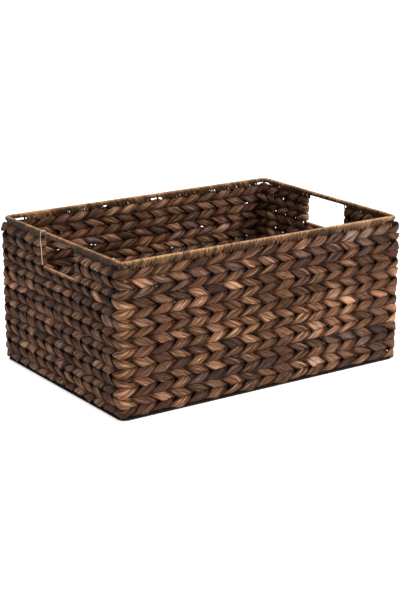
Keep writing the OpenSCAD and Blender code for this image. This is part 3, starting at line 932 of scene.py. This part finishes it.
class BASKET_OT_lash_rim(bpy.types.Operator):
    """Lash the rim to the top course with strips at every stake"""
    bl_idname = "basket.lash_rim"
    bl_label = "Lash Rim"

    def execute(self, context):
        wraps, colours = context.scene.basket_wraps, context.scene.basket_colours
        finish = dyed_stalk("lashing_strip", STRIP_DYES, colours, fibre=(10 * MM, 0.9 * MM), gloss=0.3)
        loop = self.strip_loop(wraps)
        route = StakeRoute(context.scene.basket_weave)
        half, count = route.count // 2, route.count
        end, long, jamb = END_STAKES // 2, LONG_STAKES, JAMB_STAKE
        back = range(half + end + 2, half + end + 2 + long)
        walls = {
            "left": [*range(jamb, end + 1), *range(count - end, count - jamb + 1)],
            "front": range(end + 2, end + 2 + long),
            "right": [*range(half - end, half - jamb + 1), *range(half + jamb, half + end + 1)],
            "back": back,
        }
        before_jamb, after_jamb = (jamb, half + jamb), (count - jamb, half - jamb)
        # the wound strip shows bare for this far after these stakes of the back wall
        bare_after = {back[2]: 4 * MM, back[6]: 19 * MM, back[9]: 9 * MM, back[-1]: 16 * MM}
        golden = back[-2:]
        for n, (wall, stakes) in enumerate(walls.items()):
            rng = np.random.default_rng(SEEDS["lashings"] + n)
            skins = []
            reach = (LONG_PITCH if wall in ("front", "back") else END_PITCH) / 2
            for stake in stakes:
                before, after = reach * rng.uniform(*LASHING_REACH, 2)
                if stake in bare_after:
                    after = reach - bare_after[stake]
                if stake in before_jamb:
                    before = LASHING_AT_JAMB
                if stake in after_jamb:
                    after = LASHING_AT_JAMB
                strips = max(int((before + after) / (wraps.strip_w * STRIP_STEP)), 2)
                # the wall's mean tone carries painted shade, darkest on the left wall
                tone = rng.normal(WALL_LASHING_TONE_AND_SHADE[wall], LASHING_TONE_SPREAD)
                cast = rng.uniform(*LASHING_CAST)
                if stake in golden:
                    tone, cast = GOLDEN_TONE, GOLDEN_CAST
                for along in np.linspace(-before, after, strips):
                    if rng.uniform() < NEW_STALK and stake not in golden:
                        tone = rng.normal(WALL_LASHING_TONE_AND_SHADE[wall], LASHING_TONE_SPREAD)
                    shade = float(np.clip(tone + rng.normal(0, STRIP_TONE_SPREAD), 0, 1))
                    lean = STRIP_LEAN + rng.normal(0, STRIP_LEAN_SPREAD)
                    deep = rng.uniform(*STRIP_DEPTH)
                    skins.append(self.placed(loop, route, stake, along, lean, deep, shade, cast))
            node = f"lashings_{wall}"
            make_piece(f"strips_{node}", skins, finish, [node])
        return {"FINISHED"}

    def strip_loop(self, wraps):
        """One strip bent over the rim: an upright loop in the XZ plane, widened along Y."""
        bpy.ops.object.select_all(action="DESELECT")
        reach = WRAP_R + wraps.strip_t / 2 - STRIP_SINK
        bpy.ops.mesh.primitive_torus_add(
            major_radius=reach, minor_radius=wraps.strip_t / 2, major_segments=14, minor_segments=6,
            rotation=(math.pi / 2, 0, 0))
        torus = bpy.context.object
        bpy.ops.object.transform_apply(location=False, rotation=True, scale=False)
        bpy.ops.object.mode_set(mode="EDIT")
        bpy.ops.mesh.select_all(action="SELECT")
        bpy.ops.transform.resize(value=(1, wraps.strip_w / wraps.strip_t, 1), center_override=(0, 0, 0))
        bpy.ops.mesh.select_all(action="DESELECT")
        bpy.ops.object.mode_set(mode="OBJECT")
        # the lower half is drawn down into the top course
        just_below = -0.05 * MM
        for vertex in torus.data.vertices:
            vertex.select = vertex.co.z < just_below
        bpy.ops.object.mode_set(mode="EDIT")
        drop = RIM_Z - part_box("course_01_front")[1].z + wraps.tuck - reach
        bpy.ops.transform.translate(value=(0, 0, -drop))
        bpy.ops.mesh.select_all(action="SELECT")
        bpy.ops.mesh.normals_make_consistent(inside=False)
        bpy.ops.object.mode_set(mode="OBJECT")
        mesh = torus.data
        verts = np.array([v.co for v in mesh.vertices])
        quads = np.array([p.vertices for p in mesh.polygons])
        bpy.data.objects.remove(torus)
        return verts, quads

    def placed(self, loop, route, stake, along, lean, deep, tone, cast):
        """A copy of the loop at a stake, moved along the rim, leant over, drawn down and dyed, with
        painted shade below and a painted highlight on top.
        """
        verts, quads = loop
        point, normal, travel = (v[0] for v in route.at(np.array([float(stake)])))
        x, y, z = verts.T
        side = y + along + lean * z
        height = z - deep * (z < -WRAP_R)
        places = (point + np.array([0, 0, RIM_Z]) + x[:, None] * normal
                  + side[:, None] * travel + height[:, None] * np.array([0, 0, 1.0]))
        # each strip reads its fibres from its own stretch of the pattern
        uv = np.stack([z, y + 3 * along], -1)[quads.ravel()]
        # painted shade on the strip's lower part, and a painted highlight on its top
        low = STRIP_SHADE * np.clip((STRIP_SHADE_FROM - z) / STRIP_SHADE_EASE, 0, 1)
        paled = STRIP_HIGHLIGHT * np.clip(z / WRAP_R - STRIP_HIGHLIGHT_FROM, 0, 1)
        tint = np.stack([tone + paled, np.full(len(verts), cast), low], 1)
        return {"verts": places, "quads": quads, "uv": uv, "tint": tint, "caps": []}


class BASKET_OT_bind_foot(bpy.types.Operator):
    """Bind the foot rod with a flat wound strip"""
    bl_idname = "basket.bind_foot"
    bl_label = "Bind Foot"

    def execute(self, context):
        wraps, colours = context.scene.basket_wraps, context.scene.basket_colours
        finish = dyed_stalk("foot_strip", FOOT_SHADED_DYES, colours, fibre=(9 * MM, 0.9 * MM))
        route = WallRoute()
        outer = BINDING_HI.x - HALF_L
        radius = (outer + WALL_HALF_T) / 2
        height = (BINDING_HI.z - BINDING_LO.z) / 2
        rng = np.random.default_rng(SEEDS["foot"])
        # a darker tone than the rim's strips, as painted shade along the foot
        skin = wound(route, 0.0, route.length, BINDING_LO.z + height, radius, wraps.binding_pitch,
                     wraps.binding_groove, rng, closed=True, flat=height / radius,
                     inset=radius - outer, tone=(0.25, 0.12))
        # the strip is pressed flat where the basket stands on it
        skin["verts"][:, 2] = skin["verts"][:, 2].clip(min=BINDING_LO.z)
        make_piece("wound_foot_binding", [skin], finish, ["foot_binding"])
        return {"FINISHED"}


class BASKET_OT_tie_thread(bpy.types.Operator):
    """Tie the pale thread over the rim at the jamb"""
    bl_idname = "basket.tie_thread"
    bl_label = "Tie Thread"

    def execute(self, context):
        finish = spun_thread(context.scene.basket_colours)
        lo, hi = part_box("jamb_thread")
        thread_r, sides = 0.42 * MM, 8
        over_points, hang_points = 24, 22
        # the thread swings to and fro along the rim, and its loose end drifts that way too
        over_swing, hang_swing, waves = 0.6 * MM, 0.5 * MM, 9
        drift = 4.5 * MM
        x, y = -HALF_L, (lo.y + hi.y) / 2
        loop_r = hi.x - x - thread_r
        turn = np.linspace(0, math.pi, over_points)
        over = np.stack([x + loop_r * np.cos(turn),
                         y + over_swing * np.sin(2 * turn),
                         RIM_Z + loop_r * np.sin(turn)], 1)
        # the loose end reaches its outermost place a quarter of the way down
        drop = np.linspace(0, 1, hang_points)[1:]
        hang = np.stack([x - loop_r + (lo.x + thread_r - x + loop_r) * np.minimum(1, 4 * drop),
                         y - drift * drop ** 1.5 + hang_swing * np.sin(waves * drop),
                         RIM_Z + (lo.z - RIM_Z) * drop], 1)
        path = np.vstack([over, hang])
        count = len(path)
        radius = thread_r * np.ones(count)
        sideways = np.tile([0.0, 1.0, 0.2], (count, 1))
        plain = np.tile([0.5, 0.5, 0.0], (count, 1))
        skin = sweep(path, sideways, radius, radius, np.ones((count, sides)), False, plain)
        make_piece("tied_thread", [skin], finish, ["jamb_thread"])
        return {"FINISHED"}


class BASKET_OT_lacquer_frame(bpy.types.Operator):
    """Give the wire frame its lacquer"""
    bl_idname = "basket.lacquer_frame"
    bl_label = "Lacquer Frame"

    def execute(self, context):
        finish = lacquered_wire(context.scene.basket_colours)
        for entry in frame["record"]["subparts"]:
            if entry["material_slot"] == "frame_wire":
                slots = frame["nodes"][entry["node"]].material_slots
                for slot in slots:
                    slot.material = finish
        return {"FINISHED"}


class BASKET_OT_set_stage(bpy.types.Operator):
    """Set the floor, the lights and the camera"""
    bl_idname = "basket.set_stage"
    bl_label = "Set Stage"

    def execute(self, context):
        stage, colours = context.scene.basket_stage, context.scene.basket_colours
        bpy.ops.object.select_all(action="DESELECT")
        bpy.ops.mesh.primitive_plane_add(size=3.2)
        floor = bpy.context.object
        floor.name = "floor"
        floor.data.materials.append(lit_acrylic(colours))

        # the camera sees pure white all round, and the basket a dimmer room
        world = bpy.data.worlds.new("studio")
        world.use_nodes = True
        tree = world.node_tree
        tree.nodes.clear()
        plain = {"Color": (1.0, 1.0, 1.0, 1.0)}
        white = add_node(tree, "ShaderNodeBackground", values={**plain, "Strength": 1.0})
        room = add_node(tree, "ShaderNodeBackground", values={**plain, "Strength": stage.room})
        rays = add_node(tree, "ShaderNodeLightPath")
        mixed = add_node(tree, "ShaderNodeMixShader",
                         links={0: rays.outputs["Is Camera Ray"], 1: room.outputs[0], 2: white.outputs[0]})
        add_node(tree, "ShaderNodeOutputWorld", links={"Surface": mixed.outputs[0]})
        context.scene.world = world
        self.softbox("key", (1.5, -2.4, 2.0), 1.2, stage.key_power)
        self.softbox("top", (-0.2, 0.2, 2.6), 1.8, stage.top_power)
        context.scene.view_settings.view_transform = "Standard"

        back = Vector((math.sin(stage.azimuth) * math.cos(stage.elevation),
                       -math.cos(stage.azimuth) * math.cos(stage.elevation),
                       math.sin(stage.elevation)))
        right = back.cross(Vector((0, 0, -1))).normalized()
        up = back.cross(right)
        target = up * stage.rise
        lens = bpy.data.cameras.new("camera")
        lens.lens = stage.lens
        camera = bpy.data.objects.new("camera", lens)
        camera.location = target + back * stage.distance
        camera.rotation_euler = back.to_track_quat("Z", "Y").to_euler()
        context.scene.collection.objects.link(camera)
        context.scene.camera = camera
        return {"FINISHED"}

    def softbox(self, name, place, size, power):
        """A square soft light that faces the basket."""
        light = bpy.data.lights.new(name, "AREA")
        light.size = size
        light.energy = power
        box = bpy.data.objects.new(name, light)
        box.location = place
        box.rotation_euler = Vector(place).to_track_quat("Z", "Y").to_euler()
        bpy.context.scene.collection.objects.link(box)


class BASKET_PT_sidebar(bpy.types.Panel):
    """Makes the basket piece by piece"""
    bl_label = "Twined Basket"
    bl_idname = "BASKET_PT_sidebar"
    bl_space_type = "VIEW_3D"
    bl_region_type = "UI"
    bl_category = "Basket"

    def draw(self, context):
        for operator in OPERATORS:
            self.layout.operator(operator.bl_idname)
        for group in GROUPS:
            settings = getattr(context.scene, group)
            for name in settings.bl_rna.properties.keys():
                if name not in ("rna_type", "name"):
                    self.layout.prop(settings, name)


GROUPS = {
    "basket_weave": BasketWeave,
    "basket_wraps": BasketWraps,
    "basket_colours": BasketColours,
    "basket_stage": BasketStage,
}
OPERATORS = (
    BASKET_OT_set_stage,
    BASKET_OT_lacquer_frame,
    BASKET_OT_twine_walls,
    BASKET_OT_twine_base,
    BASKET_OT_wind_rim,
    BASKET_OT_lash_rim,
    BASKET_OT_bind_foot,
    BASKET_OT_tie_thread,
)


def register():
    for made in (*GROUPS.values(), *OPERATORS, BASKET_PT_sidebar):
        bpy.utils.register_class(made)
    for name, group in GROUPS.items():
        setattr(bpy.types.Scene, name, PointerProperty(type=group))


def unregister():
    for name in GROUPS:
        delattr(bpy.types.Scene, name)
    for made in reversed((*GROUPS.values(), *OPERATORS, BASKET_PT_sidebar)):
        bpy.utils.unregister_class(made)


def main():
    """Makes every piece in order."""
    register()
    for operator in OPERATORS:
        group, name = operator.bl_idname.split(".")
        getattr(getattr(bpy.ops, group), name)()


if __name__ == "__main__":
    main()
